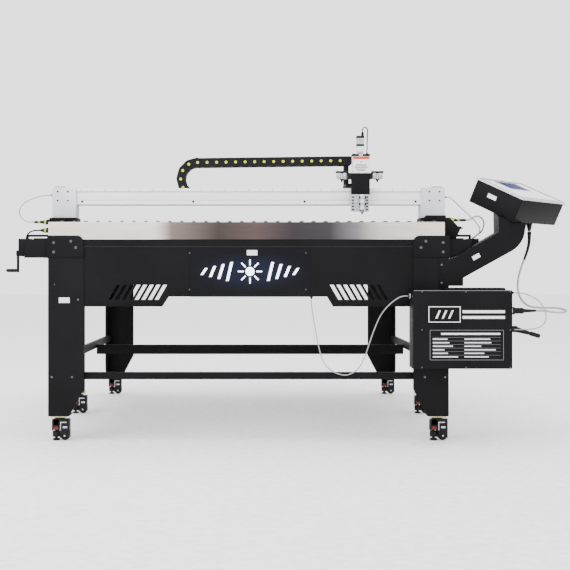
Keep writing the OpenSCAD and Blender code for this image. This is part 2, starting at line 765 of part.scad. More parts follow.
legs();
corner_brackets();
front_panel();
rear_side_panels();
tray();
slats();
stretchers();
sign_box();
y_rails();
cable_troughs();
control_case();
control_cover();
console_arm();
console_case();
console_panel();
console_screen();
fasteners();
caster_plates();
glands();
gantry_beam();
gantry_pillars();
saddles();
y_motors();
x_rails();
chain_tray();
chain_lower();
gantry_fittings();
x_carriage();
z_housing();
z_cover();
z_motor();
wing_motors();
chain_upper();
torch_plate();
torch_body();
torch_nozzle();
chain_bend_upper();
chain_bend_lower();
crank_arm();
crank_grip();
caster(0);  // caster_1
caster(1);  // caster_2
caster(2);  // caster_3
caster(3);  // caster_4
caster(4);  // caster_5
caster(5);  // caster_6
wheel(0);  // wheel_1
wheel(1);  // wheel_2
wheel(2);  // wheel_3
wheel(3);  // wheel_4
wheel(4);  // wheel_5
wheel(5);  // wheel_6
sign_cable();
console_cable();
box_jumper();
motor_cable();
left_loop_cable();
left_trough_cable();
right_pillar_cable();
right_plug_cable();
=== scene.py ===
"""CNC plasma cutting table: cords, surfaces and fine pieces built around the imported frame."""

import json
import math
import random

import bmesh
import bpy
from mathutils import Matrix, Vector


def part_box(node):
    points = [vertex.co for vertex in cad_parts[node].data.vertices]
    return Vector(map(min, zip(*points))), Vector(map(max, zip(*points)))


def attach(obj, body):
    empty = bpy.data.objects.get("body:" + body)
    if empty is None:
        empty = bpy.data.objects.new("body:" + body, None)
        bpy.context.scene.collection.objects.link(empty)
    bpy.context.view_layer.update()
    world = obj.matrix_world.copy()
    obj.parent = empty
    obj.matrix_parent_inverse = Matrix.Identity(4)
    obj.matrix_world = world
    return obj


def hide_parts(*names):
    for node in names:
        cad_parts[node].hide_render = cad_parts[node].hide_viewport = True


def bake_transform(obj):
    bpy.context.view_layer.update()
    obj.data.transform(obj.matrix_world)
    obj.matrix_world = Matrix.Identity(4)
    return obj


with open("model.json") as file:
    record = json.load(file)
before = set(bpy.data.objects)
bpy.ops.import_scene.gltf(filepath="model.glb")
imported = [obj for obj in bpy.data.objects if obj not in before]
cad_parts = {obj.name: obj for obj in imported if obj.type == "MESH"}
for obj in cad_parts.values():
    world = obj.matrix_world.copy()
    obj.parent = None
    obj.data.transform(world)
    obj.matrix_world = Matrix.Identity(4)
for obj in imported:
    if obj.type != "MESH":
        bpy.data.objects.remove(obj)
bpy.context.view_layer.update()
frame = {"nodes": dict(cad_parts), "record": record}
SLOTS = {part["node"]: part["material_slot"] for part in frame["record"]["subparts"]}
BODY_OF = {n: body for body, names in frame["record"]["behaviour"]["bodies"].items() for n in names}

# The table's own millimetres: x from its centre, y behind the front legs, z above the floor
LEGS_LOW, LEGS_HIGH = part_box("legs")
CENTRE_X = (LEGS_LOW.x + LEGS_HIGH.x) / 2
FRONT_Y = LEGS_LOW.y


def at(x, y, z):
    return Vector((CENTRE_X + x / 1000, FRONT_Y + y / 1000, z / 1000))


# ---------------------------------------------------------------- camera
def add_camera():
    data = bpy.data.cameras.new("camera")
    data.sensor_width = 36
    data.lens = 62.0
    data.shift_x = 0.051
    data.shift_y = -0.021
    data.clip_end = 60
    camera = bpy.data.objects.new("camera", data)
    camera.location = at(33.7, -4408, 757)
    camera.rotation_euler = (math.radians(90), 0, 0)
    bpy.context.scene.collection.objects.link(camera)
    bpy.context.scene.camera = camera


# ---------------------------------------------------------------- materials
def linear(r, g, b):
    """Colour values of 0 to 255 as the linear numbers that the shader takes."""
    return tuple(((c / 255 + 0.055) / 1.055) ** 2.4 if c > 10 else c / 255 / 12.92 for c in (r, g, b)) + (1,)


def shade(colour, factor):
    return tuple(min(1.0, c * factor) for c in colour[:3]) + (1,)


class Surface:
    """A node material: cloudy colour, fine grain in colour, roughness and bump."""

    def __init__(self, name, colour, rough=0.5, metal=0.0, vary=0.15, cloud=5.0, grain=700.0,
                 bump=0.15, stretch=(1, 1, 1), **sockets):
        self.mat = bpy.data.materials.new(name)
        self.mat.use_nodes = True
        self.nodes = self.mat.node_tree.nodes
        self.links = self.mat.node_tree.links
        self.shader = self.nodes["Principled BSDF"]
        self.shader.inputs["Metallic"].default_value = metal
        for socket, value in sockets.items():
            self.shader.inputs[socket.replace("_", " ")].default_value = value
        self.coords = self.nodes.new("ShaderNodeTexCoord").outputs["Object"]
        mapping = self.nodes.new("ShaderNodeMapping")
        mapping.inputs["Scale"].default_value = stretch
        self.links.new(self.coords, mapping.inputs["Vector"])
        self.clouds = self.noise(mapping.outputs[0], cloud, 5)
        self.grains = self.noise(mapping.outputs[0], grain, 2)
        self.colour = self.ramp(self.clouds, [(0.3, shade(colour, 1 - vary)), (0.7, shade(colour, 1 + vary))])
        speckle = self.ramp(self.grains, [(0.3, (0.82, 0.82, 0.82, 1)), (0.7, (1, 1, 1, 1))])
        self.colour = self.mix("MULTIPLY", 0.8, self.colour, speckle)
        self.links.new(self.colour, self.shader.inputs["Base Color"])
        spread = self.nodes.new("ShaderNodeMapRange")
        spread.inputs["To Min"].default_value = max(0.05, rough - 0.09)
        spread.inputs["To Max"].default_value = min(1.0, rough + 0.09)
        self.links.new(self.grains, spread.inputs["Value"])
        self.links.new(spread.outputs[0], self.shader.inputs["Roughness"])
        raised = self.nodes.new("ShaderNodeBump")
        raised.inputs["Strength"].default_value = bump
        raised.inputs["Distance"].default_value = 0.0005
        self.links.new(self.grains, raised.inputs["Height"])
        self.links.new(raised.outputs[0], self.shader.inputs["Normal"])

    def noise(self, vector, scale, detail):
        node = self.nodes.new("ShaderNodeTexNoise")
        node.inputs["Scale"].default_value = scale
        node.inputs["Detail"].default_value = detail
        self.links.new(vector, node.inputs["Vector"])
        return node.outputs[0]

    def ramp(self, value, stops):
        node = self.nodes.new("ShaderNodeValToRGB")
        band = node.color_ramp
        while len(band.elements) < len(stops):
            band.elements.new(0.5)
        for element, (place, colour) in zip(band.elements, stops):
            element.position = place
            element.color = colour
        self.links.new(value, node.inputs["Fac"])
        return node.outputs["Color"]

    def mix(self, kind, amount, first, second):
        node = self.nodes.new("ShaderNodeMix")
        node.data_type = "RGBA"
        node.blend_type = kind
        if isinstance(amount, float):
            node.inputs["Factor"].default_value = amount
        else:
            self.links.new(amount, node.inputs["Factor"])
        self.links.new(first, node.inputs["A"])
        self.links.new(second, node.inputs["B"])
        return node.outputs["Result"]

    def along(self, axis, low, high):
        """0 to 1 along one axis of the table, from low to high in table millimetres."""
        apart = self.nodes.new("ShaderNodeSeparateXYZ")
        self.links.new(self.coords, apart.inputs[0])
        scaled = self.nodes.new("ShaderNodeMapRange")
        scaled.inputs["From Min"].default_value = getattr(at(low, low, low), axis)
        scaled.inputs["From Max"].default_value = getattr(at(high, high, high), axis)
        self.links.new(apart.outputs[axis.upper()], scaled.inputs["Value"])
        return scaled.outputs[0]

    def glow(self, colour, strength):
        self.links.new(colour, self.shader.inputs["Emission Color"])
        self.shader.inputs["Emission Strength"].default_value = strength


def stainless():
    """Brushed steel; the band above the panels carries painted reflections, broad warm and dark bands across
    the table.
    """
    surface = Surface("stainless", linear(236, 233, 230), rough=0.36, metal=0.6, vary=0.08, cloud=9,
                      grain=260, bump=0.12, stretch=(1, 1, 9))
    # Painted reflections: warm and dark bands along x stand for the room mirrored in the steel, faded in over
    # z 885 to 905 mm.
    painted_reflections = surface.ramp(surface.along("x", -900, 882), [
        (0.0, linear(246, 236, 230)), (0.27, linear(244, 232, 226)), (0.31, linear(124, 114, 110)),
        (0.43, linear(64, 56, 53)), (0.52, linear(88, 72, 72)), (0.62, linear(50, 46, 52)),
        (0.71, linear(58, 56, 61)), (0.78, linear(124, 122, 126)), (0.84, linear(212, 208, 204)),
        (1.0, linear(246, 238, 230))])
    reflected_colour = surface.mix("MULTIPLY", surface.along("z", 885, 905), surface.colour, painted_reflections)
    surface.links.new(reflected_colour, surface.shader.inputs["Base Color"])
    return surface.mat


def halo():
    """Dark panel lit from behind: an oval of blue light that fades to black."""
    surface = Surface("sign_halo", linear(15, 15, 19), rough=0.55, vary=0.15, Specular_IOR_Level=0.08)
    centred = surface.nodes.new("ShaderNodeMapping")
    centre = at(7, 4, 764)
    centred.vector_type = "POINT"
    reach = Vector((0.262, 1, 0.092))
    centred.inputs["Scale"].default_value = (1 / reach.x, 0, 1 / reach.z)
    centred.inputs["Location"].default_value = (-centre.x / reach.x, 0, -centre.z / reach.z)
    surface.links.new(surface.coords, centred.inputs["Vector"])
    length = surface.nodes.new("ShaderNodeVectorMath")
    length.operation = "LENGTH"
    surface.links.new(centred.outputs[0], length.inputs[0])
    light = surface.ramp(length.outputs["Value"], [
        (0.0, linear(44, 66, 118)), (0.5, linear(34, 50, 92)), (0.8, linear(18, 26, 50)),
        (1.0, (0, 0, 0, 1))])
    surface.glow(light, 0.3)
    return surface.mat


def lit_white():
    surface = Surface("sign_light", linear(238, 244, 255), rough=0.4, vary=0.03, cloud=30)
    surface.glow(surface.colour, 4.0)
    return surface.mat


def lit_screen():
    surface = Surface("screen", linear(18, 24, 82), rough=0.5, vary=0.2, cloud=14, bump=0.01,
                      Specular_IOR_Level=0.05)
    surface.glow(surface.colour, 0.25)
    return surface.mat


def plain(name, colour, **look):
    return Surface(name, colour, **look).mat


def make_materials():
    black = linear(16, 15, 17)
    return {
        "black_coat": plain("powder_coat", black, rough=0.55, vary=0.18, grain=900, bump=0.3,
                            Specular_IOR_Level=0.08),
        "stainless": stainless(),
        "slat_steel": plain("slat_steel", linear(112, 109, 106), rough=0.5, metal=0.8, vary=0.35, cloud=12,
                            grain=300, stretch=(1, 0.2, 1)),
        "rail_steel": plain("ground_steel", linear(168, 170, 176), rough=0.3, metal=0.9, grain=400,
                            stretch=(0.1, 1, 1)),
        "fastener_steel": plain("black_oxide", linear(84, 83, 87), rough=0.24, metal=0.85, cloud=60),
        "zinc": plain("yellow_zinc", linear(196, 182, 130), rough=0.36, metal=0.75, vary=0.25, cloud=40),
        "beam_aluminium": plain("beam_anodised", linear(250, 250, 252), rough=0.36, metal=0.1, vary=0.02,
                                grain=500, stretch=(0.04, 1, 1), bump=0.08),
        "pillar_aluminium": plain("pillar_anodised", linear(214, 213, 224), rough=0.4, metal=0.15, vary=0.05,
                                  grain=650, bump=0.1),
        "sign_light": lit_white(),
        "sign_halo": halo(),
        "screen": lit_screen(),
        "white_panel": plain("white_enamel", linear(232, 233, 238), rough=0.38, vary=0.04, bump=0.05),
        "black_plastic": plain("black_plastic", linear(15, 15, 17), rough=0.45, vary=0.2, cloud=30,
                               Specular_IOR_Level=0.16),
        "chain_plastic": plain("chain_nylon", linear(20, 17, 21), rough=0.5, vary=0.25, cloud=25, bump=0.2,
                               Specular_IOR_Level=0.12),
        "stud": plain("stud_nylon", linear(200, 208, 22), rough=0.6, vary=0.12, cloud=90),
        "nozzle": plain("nozzle_steel", linear(120, 116, 112), rough=0.35, metal=0.8, vary=0.25, cloud=120),
        "caster_black": plain("caster_nylon", linear(14, 14, 15), rough=0.36, vary=0.25, cloud=40, bump=0.25,
                               Specular_IOR_Level=0.16),
        "red": plain("red_dial", linear(142, 30, 26), rough=0.45, vary=0.18, cloud=60),
        "rubber": plain("rubber", linear(18, 18, 19), rough=0.65, vary=0.25, cloud=50, bump=0.3,
                               Specular_IOR_Level=0.2),
        "cable_grey": plain("grey_sheath", linear(150, 150, 152), rough=0.5, vary=0.15, cloud=40),
        "cable_black": plain("black_sheath", linear(18, 18, 19), rough=0.5, vary=0.2, cloud=40,
                               Specular_IOR_Level=0.2),
        "dark_gap": plain("dark_gap", linear(20, 20, 22), rough=0.8, vary=0.3, cloud=80),
        "label": plain("white_label", linear(240, 240, 240), rough=0.55, vary=0.03, cloud=60),
        "label_grey": plain("grey_print", linear(118, 120, 126), rough=0.55, vary=0.12, cloud=200),
        "orange": plain("orange_print", linear(200, 62, 26), rough=0.5, vary=0.08, cloud=90),
        "green": plain("green_ferrule", linear(170, 188, 52), rough=0.45, vary=0.2, cloud=200),
        "silver": plain("bright_steel", linear(200, 201, 206), rough=0.28, metal=0.85, vary=0.12, cloud=60),
        "mesh_grey": plain("grey_casting", linear(176, 176, 184), rough=0.5, metal=0.4, vary=0.2, cloud=160),
        "tile": plain("screen_tile", linear(34, 44, 110), rough=0.5, vary=0.15, cloud=200),
    }


MATERIALS = make_materials()


# ---------------------------------------------------------------- shapes in table millimetres
AXES = {"x": Vector((1, 0, 0)), "y": Vector((0, 1, 0)), "z": Vector((0, 0, 1))}


def turned(axis):
    """Rotation that takes +z to an axis, given by name or as a vector."""
    way = AXES.get(axis[-1]) if isinstance(axis, str) else Vector(axis)
    if isinstance(axis, str) and axis[0] == "-":
        way = -way
    return way.to_track_quat("Z", "Y").to_matrix().to_4x4()


class Shape:
    """Solids gathered in one mesh; emit() makes the object, rides it and names what it replaces."""

    def __init__(self, place=Matrix.Identity(4)):
        self.bm = bmesh.new()
        self.place = place

    def skin(self, rings):
        """Closed skin over rings of points that have the same count."""
        rows = [[self.bm.verts.new(self.place @ Vector(p)) for p in ring] for ring in rings]
        for low, high in zip(rows, rows[1:]):
            for k in range(len(low)):
                m = (k + 1) % len(low)
                self.bm.faces.new((low[k], low[m], high[m], high[k]))
        self.bm.faces.new(tuple(reversed(rows[0])))
        self.bm.faces.new(tuple(rows[-1]))

    def box(self, low, high):
        (x0, y0, z0), (x1, y1, z1) = low, high
        ring = [(x0, y0), (x1, y0), (x1, y1), (x0, y1)]
        self.skin([[(x, y, z) for x, y in ring] for z in (z0, z1)])
        return self

    def slab(self, outline, low, high, axis="y"):
        """Outline in the other two axes, given a thickness from low to high along the axis."""
        put = {"y": lambda a, b, t: (a, t, b), "x": lambda a, b, t: (t, a, b), "z": lambda a, b, t: (a, b, t)}
        self.skin([[put[axis](a, b, t) for a, b in outline] for t in (low, high)])
        return self

    def border(self, low, high, thick, near, far, axis="y"):
        """Four bars just inside a rectangle of the other two axes."""
        (a0, b0), (a1, b1) = low, high
        left, right, bottom, top = a0 + thick, a1 - thick, b0 + thick, b1 - thick
        for a, b, c, d in ((a0, b0, a1, bottom), (a0, top, a1, b1), (a0, bottom, left, top),
                           (right, bottom, a1, top)):
            self.slab([(a, b), (c, b), (c, d), (a, d)], near, far, axis)
        return self

    def lathe(self, p, axis, profile, sides=24):
        """Profile of (radius, distance along the axis), turned about an axis through p."""
        spin = Matrix.Translation(p) @ turned(axis)
        rings = []
        for r, d in profile:
            angles = [2 * math.pi * k / sides for k in range(sides)]
            rings.append([spin @ Vector((max(r, 0.01) * math.cos(a), max(r, 0.01) * math.sin(a), d))
                          for a in angles])
        self.skin(rings)
        return self

    def rod(self, p, axis, r, length, sides=24, edge=0.6):
        edge = min(edge, r / 3, length / 3)
        return self.lathe(p, axis, [(r - edge, 0), (r, edge), (r, length - edge), (r - edge, length)], sides)

    def bolt(self, p, axis, r, height):
        """Button head with a hexagon socket."""
        self.lathe(p, axis, [(r, 0), (r, height * 0.45), (r * 0.82, height * 0.9), (r * 0.52, height)])
        self.lathe(Vector(p) + turned(axis).to_3x3() @ Vector((0, 0, height * 0.55)), axis,
                   [(r * 0.5, 0), (r * 0.5, height * 0.5)], 6)
        return self

    def nut(self, p, axis, r, height):
        profile = [(r * 0.92, 0), (r, height * 0.15), (r, height * 0.85), (r * 0.92, height)]
        return self.lathe(p, axis, profile, 6)

    def gland(self, p, axis, r, length):
        """Hexagon nut, ribbed dome and the collar that grips the cord."""
        self.nut(p, axis, r, length * 0.28)
        ribs = []
        for k in range(5):
            d = length * (0.28 + 0.09 * k)
            wide = r * (0.84 - 0.05 * k)
            ribs += [(wide, d), (wide, d + length * 0.055), (wide * 0.88, d + length * 0.06),
                     (wide * 0.88, d + length * 0.088)]
        return self.lathe(p, axis, ribs + [(r * 0.55, length * 0.74), (r * 0.42, length * 0.97),
                                           (r * 0.38, length)], 24)

    def emit(self, name, body, look, slot, replaces=(), bevel=0.6):
        bmesh.ops.recalc_face_normals(self.bm, faces=self.bm.faces)
        for vert in self.bm.verts:
            vert.co = at(*vert.co)
        mesh = bpy.data.meshes.new(name)
        self.bm.to_mesh(mesh)
        self.bm.free()
        obj = bpy.data.objects.new(name, mesh)
        bpy.context.scene.collection.objects.link(obj)
        finish_piece(obj, look, bevel)
        if body:
            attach(obj, body)
        if replaces:
            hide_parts(*replaces)
        return obj


def finish_piece(obj, look, bevel):
    """Material, rounded edges and shading for one piece. The edge radius is in millimetres."""
    obj.data.materials.clear()
    obj.data.materials.append(MATERIALS[look])
    for face in obj.data.polygons:
        face.use_smooth = True
    if bevel:
        rounded = obj.modifiers.new("rounded", "BEVEL")
        rounded.width = bevel / 1000
        rounded.segments = 2
        rounded.limit_method = "ANGLE"
        rounded.angle_limit = math.radians(35)
        rounded.harden_normals = True
        rounded.use_clamp_overlap = True
    else:
        obj.data.set_sharp_from_angle(angle=math.radians(35))


def soften(node, bevel=1.0, look=None):
    """The CAD node's own shape with rounded edges, in place of the sharp one."""
    mesh = frame["nodes"][node].data.copy()
    bm = bmesh.new()
    bm.from_mesh(mesh)
    bmesh.ops.remove_doubles(bm, verts=bm.verts, dist=0.00002)
    bmesh.ops.dissolve_limit(bm, angle_limit=math.radians(1), verts=bm.verts, edges=bm.edges)
    bm.to_mesh(mesh)
    bm.free()
    obj = bpy.data.objects.new(node + "_shell", mesh)
    bpy.context.scene.collection.objects.link(obj)
    finish_piece(obj, look or SLOTS[node], bevel)
    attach(obj, BODY_OF[node])
    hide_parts(node)
    return obj


# ---------------------------------------------------------------- cords
def bent(a, b, c, d, t):
    """Point at t between b and c on the curve through four points."""
    squared = 2 * a - 5 * b + 4 * c - d
    cubed = 3 * b - a - 3 * c + d
    return 0.5 * (2 * b + (c - a) * t + squared * t * t + cubed * t ** 3)


def smooth(points, steps=5):
    """The same smooth curve through a route's points as the CAD tube follows."""
    last = len(points) - 1
    curve = [bent(points[max(i - 1, 0)], points[i], points[i + 1], points[min(i + 2, last)], j / steps)
             for i in range(last) for j in range(steps)]
    return curve + [points[last]]


SIGN_ROUTE = [
    (707, -60, 655), (699, -60, 655), (691, -60, 655), (668, -55, 648), (631, -45, 620), (592, -36, 573),
    (563, -28, 508), (540, -22, 441), (519, -16, 378), (489, -10, 326), (442, -5, 300), (394, -2, 308),
    (357, 0, 332), (332, 4, 370), (313, 8, 439), (296, 13, 533), (286, 18, 600), (284, 20, 624),
    (284, 20, 632), (284, 20, 640)]
CONSOLE_ROUTE = [
    (1300, 140, 952), (1300, 140, 940), (1300, 140, 928), (1299, 138, 906),
    (1289, 126, 868), (1269, 104, 826), (1247, 80, 784), (1229, 58, 742), (1219, 38, 700),
    (1221, 22, 660), (1238, 14, 627), (1268, 13, 607), (1306, 16, 601), (1346, 19, 600),
    (1378, 20, 600), (1407, 8, 596), (1419, -20, 590), (1407, -48, 584), (1378, -60, 582),
    (1348, -61, 584), (1318, -60, 589), (1300, -60, 590), (1287, -60, 590), (1274, -60, 590)]
JUMPER_ROUTE = [
    (1170, -85, 670), (1180, -85, 670), (1190, -85, 670), (1227, -85, 663), (1270, -85, 641),
    (1298, -85, 610), (1311, -85, 573), (1307, -85, 543), (1286, -85, 520), (1245, -85, 510),
    (1200, -85, 508), (1186, -85, 508), (1172, -85, 508)]
HEAD_X = 511
MOTOR_ROUTE = [
    (9, 78, 1402), (9, 78, 1406), (9, 78, 1411), (13, 78, 1419), (21, 79, 1423), (29, 80, 1419),
    (33, 80, 1410), (33, 81, 1396), (32, 81, 1374), (31, 82, 1350), (31, 82, 1328), (30, 82, 1314),
    (30, 82, 1308), (30, 82, 1302), (30, 82, 1297)]
LEFT_LOOP_ROUTE = [
    (-910, 108, 1115), (-916, 108, 1115), (-924, 108, 1115), (-957, 106, 1109), (-1000, 104, 1096),
    (-1031, 103, 1078), (-1049, 102, 1056), (-1052, 101, 1034), (-1044, 101, 1012), (-1026, 101, 996),
    (-1006, 101, 991), (-995, 101, 991), (-984, 101, 991)]
LEFT_TROUGH_ROUTE = [
    (-955, 101, 953), (-963, 101, 953), (-971, 101, 953), (-990, 106, 951), (-1008, 115, 945),
    (-1021, 127, 935), (-1029, 139, 921), (-1031, 147, 904), (-1031, 148, 892), (-1031, 148, 886),
    (-1031, 148, 880)]
RIGHT_PILLAR_ROUTE = [
    (910, 112, 1106), (916, 112, 1106), (922, 112, 1106), (947, 112, 1088), (973, 112, 1062),
    (1001, 112, 1036), (1030, 112, 1008), (1052, 113, 984), (1065, 117, 962), (1065, 125, 944),
    (1054, 135, 930), (1042, 143, 916), (1036, 147, 900), (1036, 147, 890), (1036, 147, 880)]
RIGHT_PLUG_ROUTE = [
    (997, 101, 1000), (1004, 101, 1000), (1011, 101, 1001), (1032, 101, 1013), (1054, 102, 1018),
    (1074, 105, 1006), (1083, 110, 984), (1080, 118, 962), (1072, 132, 944), (1056, 146, 932),
    (1040, 155, 918), (1031, 158, 900), (1030, 158, 890), (1030, 158, 880)]


def add_cord(node, route, diameter, look, shift=0):
    """A free cord along its route, tied to the CAD tube that it stands for."""
    curve = bpy.data.curves.new(node + "_cord", "CURVE")
    curve.dimensions = "3D"
    curve.bevel_depth = diameter / 2000
    curve.bevel_resolution = 5
    curve.use_fill_caps = True
    line = smooth([Vector(p) for p in route])
    spline = curve.splines.new("POLY")
    spline.points.add(len(line) - 1)
    for point, p in zip(spline.points, line):
        point.co = (*at(p.x + shift, p.y, p.z), 1)
    spline.use_smooth = True
    curve.materials.append(MATERIALS[look])
    obj = bpy.data.objects.new(node + "_cord", curve)
    bpy.context.scene.collection.objects.link(obj)
    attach(obj, BODY_OF[node])
    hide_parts(node)


add_camera()
add_cord("sign_cable", SIGN_ROUTE, 5, "cable_grey")
add_cord("console_cable", CONSOLE_ROUTE, 9, "cable_grey")
add_cord("box_jumper", JUMPER_ROUTE, 5, "cable_grey")
add_cord("motor_cable", MOTOR_ROUTE, 5, "cable_black", shift=HEAD_X)
add_cord("left_loop_cable", LEFT_LOOP_ROUTE, 5, "cable_grey")
add_cord("left_trough_cable", LEFT_TROUGH_ROUTE, 7, "cable_black")
add_cord("right_pillar_cable", RIGHT_PILLAR_ROUTE, 5, "cable_grey")
add_cord("right_plug_cable", RIGHT_PLUG_ROUTE, 7, "cable_grey")


# ---------------------------------------------------------------- frame and bed
def add_frame():
    """Legs, brackets, panels, bars, troughs, tray and rails, with rounded edges."""
    for node in ("legs", "corner_brackets", "front_panel", "rear_side_panels", "stretchers", "cable_troughs"):
        soften(node, 1.0)
    soften("tray", 0.8)
    soften("caster_plates", 0.8)
    soften("y_rails", 0.6)


TABLE_D = 1800
SLAT_LOW, SLAT_TOP = 925, 992
SLAT_PITCH = 54
SLAT_INSET = 8
SLAT_HALF = 1.5
SLAT_FOLD = 14


def slat_positions():
    """The slats' places across the tray, read from the CAD slats' own box."""
    low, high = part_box("slats")
    first = (low.x - CENTRE_X) * 1000 + SLAT_HALF
    count = round(((high.x - CENTRE_X) * 1000 - SLAT_FOLD - first) / SLAT_PITCH) + 1
    return [first + i * SLAT_PITCH for i in range(count)]


def add_slats():
    """Steel slats with folded ends and tops that the arc has nibbled."""
    chance = random.Random(7)
    shape = Shape()
    back = TABLE_D - SLAT_INSET
    step = 18
    for x in slat_positions():
        outline = [(SLAT_INSET, SLAT_LOW), (back, SLAT_LOW)]
        y = back
        while y > SLAT_INSET:
            bite = chance.uniform(0.6, 2.6) if chance.random() < 0.25 and 40 < y < TABLE_D - 40 else 0
            outline.append((y, SLAT_TOP - bite))
            y -= step
        outline.append((SLAT_INSET, SLAT_TOP))
        shape.slab(outline, x - SLAT_HALF, x + SLAT_HALF, "x")
        for y in (SLAT_INSET, back - 2 * SLAT_HALF):
            shape.box((x - SLAT_HALF, y, SLAT_LOW), (x + SLAT_FOLD, y + 2 * SLAT_HALF, SLAT_TOP))
    shape.emit("cutting_slats", "root", "slat_steel", "slat_steel", ("slats",), bevel=0.3)


BRACKET_BOLTS = [(874, 893), (874, 851), (775, 871), (797, 899)]
LEG_BOLTS = [(883, 290), (792, 290)]
COVER_SCREWS = [(759, 345), (952, 345), (1145, 345), (759, 675), (952, 675), (1145, 675), (759, 509),
                (1145, 509)]


def add_fasteners():
    """The bolts and screws of the frame, the front panel and the control box."""
    shape = Shape()
    for side in (-1, 1):
        for x, z in BRACKET_BOLTS:
            shape.bolt((side * x, -4, z), "-y", 7, 3)
            shape.bolt((side * x, TABLE_D + 4, z), "y", 7, 3)
        for x, z in LEG_BOLTS:
            shape.bolt((side * x, 0, z), "-y", 6, 3)
            shape.bolt((side * x, TABLE_D, z), "y", 6, 3)
        outwards = "x" if side > 0 else "-x"
        for y in (60, TABLE_D - 60):
            for z in (761, 356):
                shape.bolt((side * 900, y, z), outwards, 8, 5)
        for z in (250, 500, 760):
            shape.bolt((side * 950, TABLE_D / 2, z), outwards, 8, 5)
    for z in (794, 712):
        shape.bolt((867, -4, z), "-y", 6, 3)
    shape.bolt((-765, 0, 637), "-y", 6, 3)
    shape.bolt((-870, 0, 706), "-y", 4, 3)
    for x in (-264, 258):
        for z in (847, 683):
            shape.bolt((x, 4, z), "-y", 4, 3)
    for x, z in COVER_SCREWS:
        shape.bolt((x, COVER_Y, z), "-y", 4, 3)
    shape.emit("bolts", "root", "fastener_steel", "fastener_steel", ("fasteners",), bevel=0)


def add_fold_line():
    """Shadow gap under the front panel's folded top strip."""
    shape = Shape()
    shape.box((-738, 1.6, 876.5), (738, 3.4, 879.5))
    shape.box((-738, 1.2, 880), (738, 3.6, 906))
    shape.emit("panel_top_strip", "root", "black_coat", "black_coat", bevel=0.5)
    gap = Shape()
    gap.box((-739, 2.2, 874), (739, 4.05, 880.2))
    gap.emit("panel_fold_gap", "root", "dark_gap", "black_coat", bevel=0.2)


def add_labels():
    """Blank stickers on the leg, the front panel and the console's arm."""
    shape = Shape()
    shape.box((-851, -0.5, 623), (-803, 0.1, 647))
    shape.box((-7, 2.9, 837), (40, 4.1, 860))
    shape.emit("blank_stickers", "root", "label", "white_panel", bevel=0.2)
    arm = Shape(Matrix.Translation((1022, -4, 830)) @ Matrix.Rotation(math.radians(-29), 4, "Y"))
    arm.box((-18, -0.5, -9.5), (18, 0.1, 9.5))
    arm.emit("arm_sticker", "root", "label", "white_panel", bevel=0.2)


def add_sign():
    """Generic lit motif, its glowing surround and the lamp box behind the panel."""
    soften("sign_box", 0.4)
    glow = Shape()
    glow.box((-262, 3.4, 652), (276, 4.05, 874))
    glow.emit("sign_surround", "root", "sign_halo", "black_coat", bevel=0.2)
    rim = Shape().border((-264, 650), (278, 876), 2, 2.8, 4.05)
    rim.emit("sign_rim", "root", "black_coat", "black_coat", bevel=0.3)


# ---------------------------------------------------------------- operator side
COVER_Y = -117  # front face of the control box
ROW_STEP = 15.5  # between the rows of the blank table


def add_control_box():
    """Control box with blank plates where the real one carries print."""
    soften("control_case", 1.2)
    soften("control_cover", 1.2)
    plate = Shape().border((788, 541), (928, 611), 3, COVER_Y - 0.8, COVER_Y + 0.1)
    for k in range(3):
        plate.slab([(818 + 28 * k, 558), (826 + 28 * k, 558), (842 + 28 * k, 594), (834 + 28 * k, 594)],
                   COVER_Y - 0.8, COVER_Y + 0.1)
    plate.emit("cover_plate", "root", "label", "white_panel", bevel=0.2)
    bars = Shape()
    for z in (588, 563):
        bars.box((937, COVER_Y - 0.8, z - 6), (1122, COVER_Y + 0.1, z + 6))
    bars.emit("title_bars", "root", "label", "white_panel", bevel=0.3)
    lines = Shape()
    edges = Shape()
    left, right, low, high = 795, 1116, 377, 507
    for z in (low, high):
        edges.box((left, COVER_Y - 0.7, z - 0.8), (right, COVER_Y + 0.1, z + 0.8))
    for x in (left, right):
        edges.box((x - 0.8, COVER_Y - 0.7, low), (x + 0.8, COVER_Y + 0.1, high))
    for row in range(6):
        z = 476 - ROW_STEP * row
        edges.box((left + 12, COVER_Y - 0.6, z - 0.8), (right - 12, COVER_Y + 0.1, z))
    edges.emit("table_lines", "root", "label_grey", "white_panel", bevel=0.1)
    lines.box((left + 48, COVER_Y - 0.7, 487), (right - 14, COVER_Y + 0.1, 495))
    chance = random.Random(3)
    for row in range(6):
        z = 468 - ROW_STEP * row
        for x, most in ((left + 12, 110), (left + 150, 150)):
            length = most * chance.uniform(0.45, 1)
            lines.box((x, COVER_Y - 0.7, z - 2.2), (x + length, COVER_Y + 0.1, z + 2.2))
    lines.emit("blank_table", "root", "label", "white_panel", bevel=0.2)
    edge = Shape()
    # Painted highlight: a light grey line along the black cover's top edge, where the edge catches the light.
    edge.box((724, COVER_Y - 0.6, 679), (1152, COVER_Y + 0.1, 681))
    edge.emit("cover_top_edge_highlight", "root", "label_grey", "black_coat", bevel=0.2)


CONSOLE_L, CONSOLE_W = 400, 250  # the face of the console


def in_console():
    """The console's own frame: x along its face, y up its face, z out of it."""
    return (Matrix.Translation((1218, -58, 1090)) @ Matrix.Rotation(math.radians(46.6), 4, "Z")
            @ Matrix.Rotation(math.radians(25), 4, "X"))


